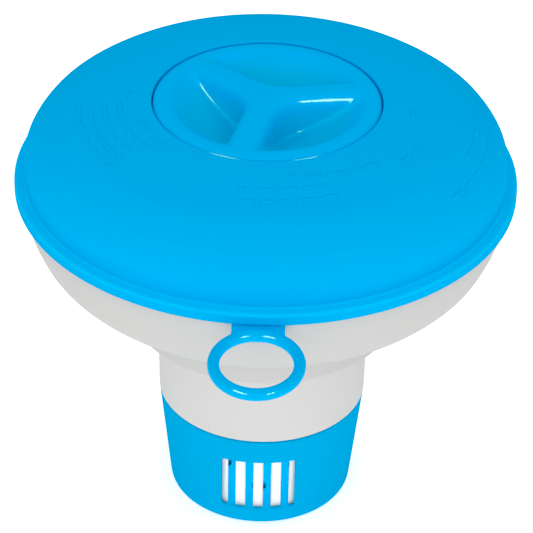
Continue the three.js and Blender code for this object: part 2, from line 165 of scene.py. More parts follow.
def rounded(corners):
    """Closed outline with round corners. Each corner is (r, z) or (r, z, radius)."""
    out = []
    n = len(corners)
    for i, corner in enumerate(corners):
        b = np.array(corner[:2], float)
        if len(corner) < 3 or corner[2] <= 0:
            out.append(tuple(b))
            continue
        a, c = np.array(corners[i - 1][:2], float), np.array(corners[(i + 1) % n][:2], float)
        u, w = a - b, c - b
        lu, lw = np.linalg.norm(u), np.linalg.norm(w)
        u, w = u / lu, w / lw
        half = math.acos(max(-1.0, min(1.0, float(u @ w)))) / 2
        if half > math.radians(89):
            out.append(tuple(b))
            continue
        radius = min(corner[2], 0.48 * min(lu, lw) * math.tan(half))
        reach = radius / math.tan(half)
        centre = b + (u + w) / np.linalg.norm(u + w) * radius / math.sin(half)
        start, end = b + u * reach - centre, b + w * reach - centre
        sweep = math.pi - 2 * half
        steps = max(2, math.ceil(sweep / math.radians(18)))
        side = math.copysign(1, start[0] * end[1] - start[1] * end[0])
        for k in range(steps + 1):
            t = side * sweep * k / steps
            turn = np.array([[math.cos(t), -math.sin(t)], [math.sin(t), math.cos(t)]])
            out.append(tuple(centre + turn @ start))
    return out


# ---------------------------------------------------------------- meshes
def turned(outline, segments=SEGMENTS):
    """Points and faces of a closed outline clear of the axis, anticlockwise in (r, z), turned round Z."""
    points, faces = [], []
    for i, (r, z) in enumerate(outline):
        low, high = i * segments, (i + 1) % len(outline) * segments
        for k in range(segments):
            a = 2 * math.pi * k / segments
            points.append((r * math.cos(a), r * math.sin(a), z))
            m = (k + 1) % segments
            faces.append((low + k, low + m, high + m, high + k))
    return np.array(points), faces


def joined(*solids):
    """Several closed bodies as one list of points and faces."""
    points, faces, start = [], [], 0
    for p, f in solids:
        points.append(np.asarray(p, float))
        faces += [tuple(int(v) + start for v in face) for face in f]
        start += len(p)
    return np.concatenate(points), faces


def surface_net(distance, low, high, pitch):
    """Mesh of the surface where distance(x, y, z) is 0, negative inside, on a grid of the given pitch.

    Each grid cell that the surface passes through gets one point, which is then moved onto the surface.
    """
    low, high = np.array(low, float), np.array(high, float)
    n = np.ceil((high - low) / pitch).astype(int) + 1
    axes = [low[i] + pitch * np.arange(n[i]) for i in range(3)]
    x, y, z = np.meshgrid(*axes, indexing="ij", sparse=True)
    f = np.broadcast_to(distance(x, y, z), n).astype(np.float32)
    inside = f < 0
    cell_shape = n - 1
    count = np.zeros(cell_shape, np.int8)
    for i in (0, 1):
        for j in (0, 1):
            for k in (0, 1):
                count += inside[i:i + cell_shape[0], j:j + cell_shape[1], k:k + cell_shape[2]]
    mixed = (count > 0) & (count < 8)
    cells = np.argwhere(mixed)
    index = np.full(cell_shape, -1, np.int64)
    index[mixed] = np.arange(len(cells))
    total, hits = np.zeros((len(cells), 3)), np.zeros(len(cells))
    for axis in range(3):
        u, v = (axis + 1) % 3, (axis + 2) % 3
        for a in (0, 1):
            for b in (0, 1):
                start = cells.copy()
                start[:, u] += a
                start[:, v] += b
                end = start.copy()
                end[:, axis] += 1
                f0, f1 = f[tuple(start.T)], f[tuple(end.T)]
                cross = (f0 < 0) != (f1 < 0)
                at = start[cross].astype(float)
                at[:, axis] += f0[cross] / (f0[cross] - f1[cross])
                total[cross] += at
                hits[cross] += 1
    points = low + pitch * total / hits[:, None]
    quads = []
    for axis in range(3):
        u, v = (axis + 1) % 3, (axis + 2) % 3
        first = [slice(None)] * 3
        second = [slice(None)] * 3
        first[axis], second[axis] = slice(0, -1), slice(1, None)
        edges = np.argwhere(inside[tuple(first)] != inside[tuple(second)])
        keep = (edges[:, u] > 0) & (edges[:, v] > 0)
        keep &= (edges[:, u] < cell_shape[u]) & (edges[:, v] < cell_shape[v])
        edges = edges[keep]
        corners = []
        for du, dv in ((-1, -1), (0, -1), (0, 0), (-1, 0)):
            c = edges.copy()
            c[:, u] += du
            c[:, v] += dv
            corners.append(index[tuple(c.T)])
        corners = np.stack(corners, 1)
        outward = inside[tuple(edges.T)]
        corners[~outward] = corners[~outward][:, ::-1]
        quads.append(corners)
    step = 0.02
    for _ in range(3):
        here = distance(*points.T)
        slope = np.stack([
            (distance(*(points + step * unit).T) - distance(*(points - step * unit).T)) / (2 * step)
            for unit in np.eye(3)
        ], 1)
        size = np.maximum((slope ** 2).sum(1), 0.2)
        points -= np.clip(here / size, -0.4 * pitch, 0.4 * pitch)[:, None] * slope
    return points, np.concatenate(quads).tolist()


def make_mesh(name, points, faces):
    """A smooth mesh in metres from points in millimetres."""
    mesh = bpy.data.meshes.new(name)
    mesh.from_pydata((np.asarray(points) * MM).tolist(), [], faces)
    mesh.update()
    mesh.shade_smooth()
    return mesh


def link(name, mesh):
    """An object with the mesh, in the scene."""
    obj = bpy.data.objects.new(name, mesh)
    bpy.context.scene.collection.objects.link(obj)
    return obj


def combined(solid, tools, operation):
    """The solid after an exact boolean with each tool: DIFFERENCE or UNION."""
    obj = link("work", make_mesh("work", *solid))
    helpers = []
    for i, tool in enumerate(tools):
        helper = link(f"tool_{i}", make_mesh("tool", *tool))
        helpers.append(helper)
        step = obj.modifiers.new(f"step_{i}", "BOOLEAN")
        step.object, step.operation, step.solver = helper, operation, "EXACT"
    evaluated = obj.evaluated_get(bpy.context.evaluated_depsgraph_get())
    mesh = bpy.data.meshes.new_from_object(evaluated)
    points = np.array([v.co for v in mesh.vertices]) / MM
    faces = [tuple(p.vertices) for p in mesh.polygons]
    for helper in [obj, *helpers]:
        bpy.data.objects.remove(helper)
    return points, faces


def block(x0, x1, y0, y1, z0, z1):
    """A box between two values of each coordinate."""
    points = [(x, y, z) for x in (x0, x1) for y in (y0, y1) for z in (z0, z1)]
    faces = [(0, 1, 3, 2), (4, 6, 7, 5), (0, 4, 5, 1), (2, 3, 7, 6), (0, 2, 6, 4), (1, 5, 7, 3)]
    return np.array(points), faces


def loft(sections):
    """A closed body through sections of equal length, each anticlockwise as seen from the last section."""
    n, last = len(sections[0]), len(sections) - 1
    faces = [tuple(range(n - 1, -1, -1)), tuple(range(n * last, n * last + n))]
    for k in range(last):
        for i in range(n):
            j = (i + 1) % n
            faces.append((n * k + i, n * k + j, n * k + n + j, n * k + n + i))
    return np.array([point for section in sections for point in section]), faces


def polar_block(r0, r1, from_degrees, to_degrees, z0, z1, steps=16):
    """A piece of a ring between two radii, two angles and two heights."""
    sections = []
    for k in range(steps + 1):
        a = math.radians(from_degrees + (to_degrees - from_degrees) * k / steps)
        corners = ((r0, z1), (r1, z1), (r1, z0), (r0, z0))
        sections.append([(r * math.cos(a), r * math.sin(a), z) for r, z in corners])
    return loft(sections)


# ---------------------------------------------------------------- distance functions
FAR = 40.0          # distances to a well's floor are cut off here


def fillet_max(a, b, size):
    """Intersection of two solids whose shared edge is rounded."""
    h = np.maximum(size - np.abs(a - b), 0) / size
    return np.maximum(a, b) + h * h * size / 4


def fillet_min(a, b, size):
    """Union of two solids with a fillet between them."""
    return -fillet_max(-a, -b, size)


def rectangle(u, v, u0, u1, v0, v1, edge):
    """Distance to a rectangle with round corners."""
    du = np.abs(u - (u0 + u1) / 2) - (u1 - u0) / 2 + edge
    dv = np.abs(v - (v0 + v1) / 2) - (v1 - v0) / 2 + edge
    return np.hypot(np.maximum(du, 0), np.maximum(dv, 0)) + np.minimum(np.maximum(du, dv), 0) - edge


def folded_angle(x, y, first_degrees, count):
    """Angle from the nearest of a number of equally spaced directions, in radians."""
    share = 2 * math.pi / count
    return (np.arctan2(y, x) - math.radians(first_degrees) + share / 2) % share - share / 2


def well_distance(x, y, z):
    """The cap's finger wells: straight sides with a large round corner, an outer arc and a scooped floor."""
    r = np.hypot(x, y)
    a = folded_angle(x, y, ARM_ANGLE + 60, 3)
    arm = math.radians(60)
    u = r * np.cos(a) - (ARM_HALF_W + WELL_FILLET) / math.sin(arm)
    v = np.abs(r * np.sin(a))
    along = u * math.cos(arm) + v * math.sin(arm)
    side = v * math.cos(arm) - u * math.sin(arm)
    sides = np.where(along < 0, np.hypot(u, v), side) - WELL_FILLET
    out, down = np.maximum(r - WELL_FLOOR_R, 0), np.maximum(CAP_TOP_Z - z, 0)
    outline = fillet_max(sides + WELL_DRAFT * down, r - WELL_R, WELL_CORNER)
    reach, depth = WELL_R - WELL_FLOOR_R, WELL_DEPTH
    p = WELL_POWER
    total = (out / reach) ** p + (down / depth) ** p
    slope = np.hypot((out / reach) ** (p - 1) / reach, (down / depth) ** (p - 1) / depth)
    k = np.maximum(total, 1e-6) ** (1 / p)
    scoop = np.where(total > 1e-6, (k - 1) * k ** (p - 1) / np.maximum(slope, 1e-6), -depth)
    return fillet_max(outline, np.minimum(scoop, FAR), CREASE_BLEND)


def cap_distance(x, y, z):
    """The cap: crowned plate, flange, skirt with three lugs, and wells with their pockets underneath."""
    r = np.hypot(x, y)
    top = CAP_TOP_Z + CAP_CROWN * (1 - (r / (CAP_R - 1)) ** 2)
    puck = fillet_max(z - top, r - CAP_EDGE_R, CAP_EDGE_FILLET)
    disc = np.maximum(puck, top - CAP_PLATE_H - z)
    flange = np.maximum(puck, np.maximum(CAP_SKIRT_R - CAP_WALL - r, CAP_TOP_Z - CAP_FLANGE_H - z))
    skirt = rectangle(r, z, CAP_SKIRT_R - CAP_WALL, CAP_SKIRT_R, CAP_SKIRT_Z, CAP_TOP_Z - 1, 0.6)
    well = well_distance(x, y, z) + WELL_TIGHT
    pocket = fillet_max(np.maximum(well - CAP_WALL, z - top + 1), r - (CAP_SKIRT_R - 0.3), 1.0)
    lug_side = r * np.sin(np.abs(folded_angle(x, y, 0, 3)) - math.radians(LUG_HALF_ANGLE))
    lug = rectangle(r, z, CAP_SKIRT_R - 1, LUG_R, LUG_Z, LUG_Z + LUG_H, 0.5)
    lug = fillet_max(lug, lug_side, 0.8)
    body = np.minimum(disc, flange)
    body = fillet_min(body, skirt, 1.0)
    body = fillet_min(body, pocket, 1.2)
    body = fillet_min(body, lug, 0.5)
    return np.maximum(np.maximum(body, -well), fillet_max(z - top, -well, WELL_BLEND))


def cup_outer_r(z):
    """Radius of the cup's outside, which widens upwards."""
    return CUP_BASE_R + (CUP_TOP_R - CUP_BASE_R) * z / CUP_TOP_Z


def cup_inner_r(z):
    """Radius of the cup's inside."""
    return cup_outer_r(z) - CUP_WALL


def sleeve_outer_r(z):
    """Radius of the tube's lower end, which stands inside the cup."""
    return cup_inner_r(z) - SLEEVE_GAP


def cup_distance(x, y, z):
    """The regulator cup: snap bead, two stop posts, two windows and the drain holes."""
    r = np.hypot(x, y)
    outside = fillet_max(fillet_max(r - cup_outer_r(z), -z, 2.6), z - CUP_TOP_Z, 0.9)
    cavity = fillet_max(r - cup_inner_r(z), CUP_FLOOR - z, 1.5)
    cup = fillet_max(outside, -cavity, 0.9)
    bead_z = (SNAP_Z0 + SNAP_Z1) / 2
    bead = np.hypot(r - cup_inner_r(bead_z) - 0.1, z - bead_z) - 0.95
    cup = fillet_min(cup, bead, 0.4)
    post_side = r * np.sin(np.abs(folded_angle(x, y, 0, 2)) - math.radians(STOP_HALF_ANGLE))
    post = rectangle(r, z, STOP_R, cup_inner_r(STOP_Z1) + 0.4, STOP_Z0, STOP_Z1, 0.4)
    cup = fillet_min(cup, fillet_max(post, post_side, 0.6), 0.6)
    window = rectangle(x, z, -WINDOW_HALF_W, WINDOW_HALF_W, WINDOW_Z0, WINDOW_Z1, 0.9)
    cup = fillet_max(cup, -window, 0.9)
    a = folded_angle(x, y, -90, DRAIN_COUNT)
    drain = np.hypot(r * np.cos(a) - DRAIN_CIRCLE_R, r * np.sin(a)) - DRAIN_R
    return fillet_max(cup, -drain, 0.7)


def eye_distance(x, y, z):
    """The tether eye: an oval ring, its tab, and the tab's root in the lip."""
    section_z = RIM_Z - EYE_SECTION_R
    ring = np.hypot(np.hypot(x, (y - EYE_Y) / EYE_STRETCH) - EYE_MID_R, z - section_z) - EYE_SECTION_R
    inner_y = -(RIM_R - LIP_WALL + 0.1)
    outer_y = EYE_Y + EYE_MID_R * EYE_STRETCH
    tab = rectangle(x, z, -TAB_W / 2, TAB_W / 2, RIM_Z - TAB_H, RIM_Z, 0.7)
    tab = fillet_max(fillet_max(tab, outer_y - 1 - y, 0.8), y - inner_y, 0.5)
    root = rectangle(x, z, -TAB_W / 2 + 0.2, TAB_W / 2 - 0.2, RIM_Z - 1.5, RIM_Z + 0.7, 0.3)
    root = np.maximum(np.maximum(root, y - inner_y), -(RIM_R - 0.8) - y)
    return fillet_min(fillet_min(ring, tab, 0.8), root, 0.3)


# ---------------------------------------------------------------- the moulded pieces
dome_curve = smooth([
    (DOME_FOOT_R, LIP_TOP_Z + 0.2), (DOME_FOOT_R, 139), (DOME_FOOT_R - 0.3, 143.6), (82.2, 148.6),
    (78.4, 152.8), (70.3, 157.9), (60, 160.5), (50, 162.2), (CAP_SEAT_R, CAP_TOP_Z),
], CURVE_STEPS)
bowl_curve = smooth([
    (COLLAR_R, COLLAR_Z + COLLAR_H), (51.3, 88), (57.8, 91.2), (70, 98.5), (79, 107), (83.3, 115.3),
    (85.8, 123.4), (BOWL_RIM_R, RIM_Z),
], CURVE_STEPS)


def on_dome(r, degrees, across, height):
    """A point near the dome's outside: a distance across the row, uphill, and a height above the surface."""
    radii, heights = (np.array([p[i] for p in dome_curve[::-1]]) for i in (0, 1))
    step = 0.5
    slope = (np.interp(r + step, radii, heights) - np.interp(r - step, radii, heights)) / (2 * step)
    level = 1 / math.hypot(1, slope)
    foot = r - across * level
    out = foot - height * slope * level
    a = math.radians(degrees)
    return out * math.cos(a), out * math.sin(a), float(np.interp(foot, radii, heights)) + height * level


def mark_section(half, height):
    """Section of a raised mark: distances across it and heights above the dome."""
    ease, shoulder = min(0.6, 0.6 * half), 0.3 * height
    return ((-half, -RELIEF_ROOT), (half, -RELIEF_ROOT), (half, shoulder), (half - ease, height),
            (ease - half, height), (-half, shoulder))


def dash(r0, r1, start, end):
    """A raised dash along the dome from one angle to another, with round ends."""
    round_end = math.degrees(0.4 / r0)
    steps = max(2, math.ceil((end - start) / 2))
    inner = [start + round_end + (end - start - 2 * round_end) * k / steps for k in range(steps + 1)]
    stations = [(start, END_W, END_H), *((a, 1, 1) for a in inner), (end, END_W, END_H)]
    return loft([
        [on_dome(r0 + (r1 - r0) * (a - start) / (end - start), a, across, up)
         for across, up in mark_section(LINE_W / 2 * width, RELIEF_H * rise)]
        for a, width, rise in stations
    ])


def pointer(r0, r1, degrees, half_width):
    """A small raised arrowhead that points along the dome from one radius to another."""
    sections = []
    for t, rise in ((1, END_H), (0.9, 1), (0.6, 1), (0.3, 1), (0.07, 1), (0, END_H)):
        r = r0 + (r1 - r0) * t
        half = 0.25 + half_width * (1 - t)
        sections.append([on_dome(r, degrees + math.degrees(across / r), 0, up)
                         for across, up in mark_section(half, RELIEF_H * rise)])
    return loft(sections)


def relief():
    """Rows of plain dashes in the places of the moulded lines, and one small pointer beside the cap."""
    draw = random.Random(7)
    marks = [pointer(49.0, 43.6, 177.5, 2.8)]
    for r0, r1, start, end in RELIEF_ROWS:
        at, per_mm = start, math.degrees(1 / r0)
        while end - at > ROW_REST * per_mm:
            stop = min(at + draw.uniform(DASH_MIN, DASH_MAX) * per_mm, end)
            share0, share1 = (at - start) / (end - start), (stop - start) / (end - start)
            marks.append(dash(r0 + (r1 - r0) * share0, r0 + (r1 - r0) * share1, at, stop))
            at = stop + DASH_GAP * per_mm
    return joined(*marks)


def top_shell():
    """The blue shell with the tether eye and the raised marks, and which of its faces are the eye's."""
    inside = offset(dome_curve, SHELL_WALL)[::-1]
    inside[0] = (SEAT_WALL_R, inside[0][1])
    inside[-1] = (DOME_FOOT_R - SHELL_WALL, LIP_TOP_Z)
    outline = rounded([
        (NECK_BORE_R, NECK_FOOT_Z, 0.4), (NECK_R, NECK_FOOT_Z, 0.5), (NECK_R, CAP_SEAT_Z - SHELL_WALL, 0.8),
        (SEAT_WALL_R, CAP_SEAT_Z - SHELL_WALL, 0.8), *inside,
        (SKIRT_R - SKIRT_WALL, LIP_TOP_Z - 1, 0.5), (SKIRT_R - SKIRT_WALL, INNER_SKIRT_Z, 0.3),
        (SKIRT_R, INNER_SKIRT_Z, 0.3), (SKIRT_R, CHANNEL_TOP_Z, 0.4), (RIM_R - LIP_WALL, CHANNEL_TOP_Z, 0.4),
        (RIM_R - LIP_WALL, RIM_Z, 0.5), (RIM_R, RIM_Z, 0.7), (RIM_R, LIP_TOP_Z, 0.9),
        (DOME_FOOT_R, LIP_TOP_Z, 1.2), *dome_curve[3:-1],
        (SEAT_EDGE_R, CAP_TOP_Z, 0.8), (SEAT_EDGE_R, CAP_SEAT_Z, 0.4), (NECK_BORE_R, CAP_SEAT_Z, 0.4),
    ])
    shell = turned(outline)
    eye = surface_net(
        eye_distance, (-EYE_NET_HALF, EYE_Y - EYE_NET_OUT, RIM_Z - 5),
        (EYE_NET_HALF, -(RIM_R - LIP_WALL) + 1.6, RIM_Z + 1.6), EYE_PITCH,
    )
    return joined(shell, eye, relief()), range(len(shell[1]), len(shell[1]) + len(eye[1]))


def bowl():
    """The white bowl with its collar."""
    inside = offset(bowl_curve, BOWL_WALL)[::-1]
    inside[0] = (BOWL_RIM_R - BOWL_WALL, RIM_Z)
    inside[-1] = (COLLAR_R - BOWL_WALL, COLLAR_Z + COLLAR_H + 1)
    return turned(rounded([
        (NECK_BORE_R, COLLAR_Z, 0.5), (COLLAR_R, COLLAR_Z, 1.0),
        (COLLAR_R, COLLAR_Z + COLLAR_H - CREASE_H, 0.3),
        (COLLAR_R - CREASE_DEPTH, COLLAR_Z + COLLAR_H - 0.2), *bowl_curve[1:],
        (BOWL_RIM_R, BOWL_TOP_Z, 0.4), (BOWL_RIM_R - BOWL_WALL, BOWL_TOP_Z, 0.4), *inside,
        (COLLAR_R - BOWL_WALL, COLLAR_FLOOR_Z, 0.8), (NECK_BORE_R, COLLAR_FLOOR_Z, 0.5),
    ]))


def tube():
    """The tablet tube with its collars, grooves, slots, stop notches and bayonet ledges."""
    def groove(z0, z1):
        r0, r1 = sleeve_outer_r(z0), sleeve_outer_r(z1)
        return [(r0, z0, 0.2), (r0 - GROOVE_DEPTH, z0, 0.3), (r1 - GROOVE_DEPTH, z1, 0.3), (r1, z1, 0.2)]

    def collar(z):
        top = z + TUBE_COLLAR_H
        return [(TUBE_R, z, 0.4), (TUBE_COLLAR_R, z, 0.4), (TUBE_COLLAR_R, top, 0.4), (TUBE_R, top, 0.4)]

    inner_r = TUBE_R - TUBE_WALL
    body = turned(rounded([
        (sleeve_outer_r(TUBE_BASE_Z) - TUBE_WALL, TUBE_BASE_Z, 0.5),
        (sleeve_outer_r(TUBE_BASE_Z), TUBE_BASE_Z, 0.6),
        *groove(DRAG_Z0, DRAG_Z1), *groove(SNAP_Z0, SNAP_Z1),
        (sleeve_outer_r(NECK_END_Z), NECK_END_Z, 0.3), (NECK_END_R, NECK_END_Z, 0.6),
        (NECK_TOP_R, COLLAR_Z - 2), (TUBE_R, COLLAR_Z),
        *collar(LOWER_COLLAR_Z), *collar(UPPER_COLLAR_Z),
        (TUBE_R, TUBE_TOP_Z, 0.5), (inner_r, TUBE_TOP_Z, 0.5), (inner_r, COLLAR_Z - 3),
        (NECK_END_R - TUBE_WALL, NECK_END_Z + 3),
        (sleeve_outer_r(SNAP_Z1) - GROOVE_DEPTH - GROOVE_WALL, NECK_END_Z),
        (sleeve_outer_r(DRAG_Z0) - GROOVE_DEPTH - GROOVE_WALL, DRAG_Z0),
        (sleeve_outer_r(SLOT_Z1) - TUBE_WALL, SLOT_Z1 - 1),
    ]), TUBE_SEGMENTS)
    cutters = []
    for i in range(SLOTS_PER_SIDE):
        x = (i - (SLOTS_PER_SIDE - 1) / 2) * SLOT_PITCH
        cutters.append(block(x - SLOT_W / 2, x + SLOT_W / 2, -TUBE_R, TUBE_R, SLOT_Z0, SLOT_Z1))
    reach = REGULATOR_TURN / 2 + STOP_HALF_ANGLE + NOTCH_EASE
    for side in (0, 180):
        middle = side + REGULATOR_TURN / 2
        cutters.append(polar_block(NOTCH_R0, NOTCH_R1, middle - reach, middle + reach, 0, STOP_Z1 + GAP, 40))
    body = combined(body, cutters, "DIFFERENCE")
    ledges = []
    root_r, top_z = inner_r + 0.5, LEDGE_Z + LEDGE_H
    for k in range(3):
        middle = 120 * k - LOCK_TURN
        far = middle - LEDGE_HALF_ANGLE
        ledges.append(polar_block(LEDGE_R, root_r, far, middle + LEDGE_HALF_ANGLE, LEDGE_Z, top_z))
        ledges.append(polar_block(LEDGE_R, root_r, far - 3, far + 1, LUG_Z, top_z - 0.2, 6))
    return combined(body, ledges, "UNION")


def ring(r0, r1, z0, z1):
    """A flat rubber ring between two radii and two heights."""
    edge = 0.35 * min(r1 - r0, z1 - z0)
    return turned(rounded([(r0, z0, edge), (r1, z0, edge), (r1, z1, edge), (r0, z1, edge)]), RING_SEGMENTS)


# ---------------------------------------------------------------- materials
DRIFT_SCALE, GLOSS_SPREAD = 26, 0.15

# Finishes: roughness, specular level, coat, coat roughness, scale of the grain and its depth in metres.
SATIN = (0.5, 0.0, 0.0, 0.25, 900, 0.00002)
POLISHED = (0.5, 0.0, 0.2, 0.13, 700, 0.000006)
TUBE_SATIN = (0.5, 0.0, 0.05, 0.3, 800, 0.00003)
BOWL_SATIN = (0.5, 0.0, 0.08, 0.3, 800, 0.00003)
MATT_RUBBER = (0.7, 0.3, 0.0, 0.5, 1400, 0.00005)


def moulded(name, colour, shade, finish, painted_zone=None):
    """Moulded plastic or rubber that drifts between two colours, with uneven gloss and a fine mould grain.

    The last argument is (colour, upper z, lower z, ends): painted light or shade, a colour that comes in from
    the upper to the lower height.
    With ends 1 it stays below them. With ends 2 it is full halfway between them and gone at the lower one.
    """
    roughness, specular, coat, coat_roughness, grain, grain_depth = finish
    material = bpy.data.materials.new(name)
    material.use_nodes = True
    nodes, links = material.node_tree.nodes, material.node_tree.links
    shader = nodes["Principled BSDF"]
    where = nodes.new("ShaderNodeTexCoord")
    drift = nodes.new("ShaderNodeTexNoise")
    drift.inputs["Scale"].default_value = DRIFT_SCALE
    drift.inputs["Detail"].default_value = 3
    links.new(where.outputs["Object"], drift.inputs["Vector"])
    tint = nodes.new("ShaderNodeMix")
    tint.data_type = "RGBA"
    tint.inputs[6].default_value = (*shade, 1)
    tint.inputs[7].default_value = (*colour, 1)
    links.new(drift.outputs["Fac"], tint.inputs[0])
    painted = tint.outputs[2]
    # A colour painted in for light or shade over a band of heights.
    if painted_zone:
        painted_colour, z1, z0, ends = painted_zone
        split = nodes.new("ShaderNodeSeparateXYZ")
        links.new(where.outputs["Object"], split.inputs[0])
        fall = nodes.new("ShaderNodeMapRange")
        fall.inputs["From Min"].default_value = z1 * MM
        fall.inputs["From Max"].default_value = z0 * MM
        fall.inputs["To Max"].default_value = ends
        links.new(split.outputs["Z"], fall.inputs["Value"])
        fold = nodes.new("ShaderNodeMath")
        fold.operation = "PINGPONG"
        fold.inputs[1].default_value = 1
        links.new(fall.outputs["Result"], fold.inputs[0])
        painted_mix = nodes.new("ShaderNodeMix")
        painted_mix.data_type = "RGBA"
        painted_mix.inputs[7].default_value = (*painted_colour, 1)
        links.new(fold.outputs[0], painted_mix.inputs[0])
        links.new(painted, painted_mix.inputs[6])
        painted = painted_mix.outputs[2]
    links.new(painted, shader.inputs["Base Color"])
    gloss = nodes.new("ShaderNodeMapRange")
    gloss.inputs["From Min"].default_value = 0.3
    gloss.inputs["From Max"].default_value = 0.7
    gloss.inputs["To Min"].default_value = roughness * (1 - GLOSS_SPREAD)
    gloss.inputs["To Max"].default_value = roughness * (1 + GLOSS_SPREAD)
    links.new(drift.outputs["Fac"], gloss.inputs["Value"])
    links.new(gloss.outputs["Result"], shader.inputs["Roughness"])
    fine = nodes.new("ShaderNodeTexNoise")
    fine.inputs["Scale"].default_value = grain
    fine.inputs["Detail"].default_value = 2
    links.new(where.outputs["Object"], fine.inputs["Vector"])
    bump = nodes.new("ShaderNodeBump")
    bump.inputs["Strength"].default_value = 0.5
    bump.inputs["Distance"].default_value = grain_depth
    links.new(fine.outputs["Fac"], bump.inputs["Height"])
    links.new(bump.outputs["Normal"], shader.inputs["Normal"])
    shader.inputs["Specular IOR Level"].default_value = specular
    shader.inputs["Coat Weight"].default_value = coat
    shader.inputs["Coat Roughness"].default_value = coat_roughness
    return material


# Painted light: the flat band round the lip gets a lighter blue that cancels the shade the dome wall casts on
# it, and the insides of the finger wells get a greener blue that offsets the deeper blue of their shade and
# bounced light.
LIP_PAINTED_LIGHT = ((0.0, 0.52, 0.89), LIP_TOP_Z + 1.2, LIP_TOP_Z - 1.2, 2)
WELL_PAINTED_TINT = ((0.0, 0.43, 0.745), CAP_TOP_Z - 0.5, CAP_TOP_Z - 5, 1)

blue = moulded("blue_plastic", (0.0, 0.395, 0.78), (0.0, 0.38, 0.76), SATIN, LIP_PAINTED_LIGHT)
blue_gloss = moulded("blue_plastic_gloss", (0.0, 0.405, 0.79), (0.0, 0.395, 0.775), POLISHED)
blue_cap = moulded("blue_plastic_cap", (0.0, 0.41, 0.83), (0.0, 0.40, 0.815), POLISHED, WELL_PAINTED_TINT)
# The cup's blue is a darker copy of the lid's, painted shade that tones down the light the glowing floor throws
# on it.
cup_blue_painted_shade = moulded("blue_plastic_cup", (0.0, 0.36, 0.69), (0.0, 0.35, 0.675), SATIN)
# The tube's white is a lighter copy of the bowl's, painted light on its neck; its lower end, seen through the
# cup's windows, is whiter still, painted light.
tube_white_painted_light = moulded("white_plastic_tube", (0.61, 0.605, 0.60), (0.59, 0.585, 0.58), TUBE_SATIN)
tube_end_white_painted_light = moulded("white_plastic_end", (0.84, 0.84, 0.84), (0.82, 0.82, 0.82), TUBE_SATIN)
white = moulded("white_plastic", (0.54, 0.535, 0.53), (0.52, 0.515, 0.51), BOWL_SATIN)
rubber = moulded("seal_rubber", (0.024, 0.026, 0.029), (0.018, 0.019, 0.021), MATT_RUBBER)


# ---------------------------------------------------------------- pieces on the frame
def add_piece(name, solid, node, body, material, other_faces=(), other_material=None):
    """A fine piece that stands for a CAD node and lies in its place. Some faces can differ in material."""
    obj = link(name, make_mesh(name, *solid))
    obj.data.materials.append(material)
    if other_material:
        obj.data.materials.append(other_material)
        for i in other_faces:
            obj.data.polygons[i].material_index = 1
    steady = obj.modifiers.new("steady_normals", "WEIGHTED_NORMAL")
    steady.keep_sharp = False
    low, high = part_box(node)
    points = np.asarray(solid[0]) * MM
    worst = max(np.abs(points.min(0) - np.array(low)).max(), np.abs(points.max(0) - np.array(high)).max())
    if worst > PLACE_TOLERANCE:
        raise ValueError(f"{name} is {worst * 1000:.2f} mm off the CAD node {node}")
    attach(obj, body)
    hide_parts(node)


cap_solid = surface_net(
    cap_distance, (-CAP_NET_HALF, -CAP_NET_HALF, CAP_SKIRT_Z - NET_MARGIN),
    (CAP_NET_HALF, CAP_NET_HALF, CAP_TOP_Z + CAP_CROWN + NET_MARGIN), CAP_PITCH,
)
add_piece("cap_moulding", cap_solid, "locking_cap", "cap", blue_cap)
shell_solid, eye_faces = top_shell()
add_piece("top_shell_moulding", shell_solid, "top_float_shell", "float", blue,
          eye_faces, blue_gloss)
add_piece("bowl_moulding", bowl(), "bottom_float_shell", "float", white)
tube_solid = tube()
tube_points, tube_faces = tube_solid
# The faces of the tube's lower end take the whiter copy, painted light.
tube_end = [i for i, face in enumerate(tube_faces) if max(tube_points[v][2] for v in face) < DRAG_Z1]
add_piece("tube_moulding", tube_solid, "tablet_tube", "float", tube_white_painted_light,
          tube_end, tube_end_white_painted_light)
cup_solid = surface_net(
    cup_distance, (-CUP_NET_HALF, -CUP_NET_HALF, -NET_MARGIN),
    (CUP_NET_HALF, CUP_NET_HALF, CUP_TOP_Z + NET_MARGIN), CUP_PITCH,
)
add_piece("cup_moulding", cup_solid, "regulator_cup", "regulator", cup_blue_painted_shade)

# Rubber rings: inner and outer radius, lower and upper height.
CAP_SEAL = (CAP_SKIRT_R + 1, CAP_SEAT_R - 0.4, CAP_SEAT_Z + GAP, CAP_TOP_Z - CAP_FLANGE_H - GAP)
SEAM_GASKET = (BOWL_RIM_R - BOWL_WALL + 0.2, RIM_R - LIP_WALL - GAP, BOWL_TOP_Z + GAP, CHANNEL_TOP_Z - GAP)
UPPER_SEAL = (NECK_BORE_R, TUBE_R + SHELL_WALL, UPPER_COLLAR_Z + TUBE_COLLAR_H + GAP, NECK_FOOT_Z - GAP)
LOWER_SEAL = (NECK_BORE_R, TUBE_COLLAR_R - 0.5, COLLAR_FLOOR_Z + GAP, LOWER_COLLAR_Z - GAP)
DRAG_RING = (sleeve_outer_r(DRAG_Z0) - GROOVE_DEPTH + 0.2, cup_inner_r(DRAG_Z0) - 0.25,
             DRAG_Z0 + 0.25, DRAG_Z1 - 0.25)
for name, node, body, size in (
    ("cap_seal_ring", "cap_seal", "seal", CAP_SEAL),
    ("seam_gasket_ring", "float_seam_gasket", "float", SEAM_GASKET),
    ("upper_seal_ring", "upper_tube_seal", "float", UPPER_SEAL),
    ("lower_seal_ring", "lower_tube_seal", "float", LOWER_SEAL),
    ("drag_ring", "regulator_drag_ring", "float", DRAG_RING),
):
    add_piece(name, ring(*size), node, body, rubber)

# ---------------------------------------------------------------- floor, light and camera
scene = bpy.context.scene
scene.view_settings.view_transform = "Standard"
scene.view_settings.use_curve_mapping = True
scene.view_settings.curve_mapping.black_level = (0.02, 0, 0)      # takes a trace of red out of the blue

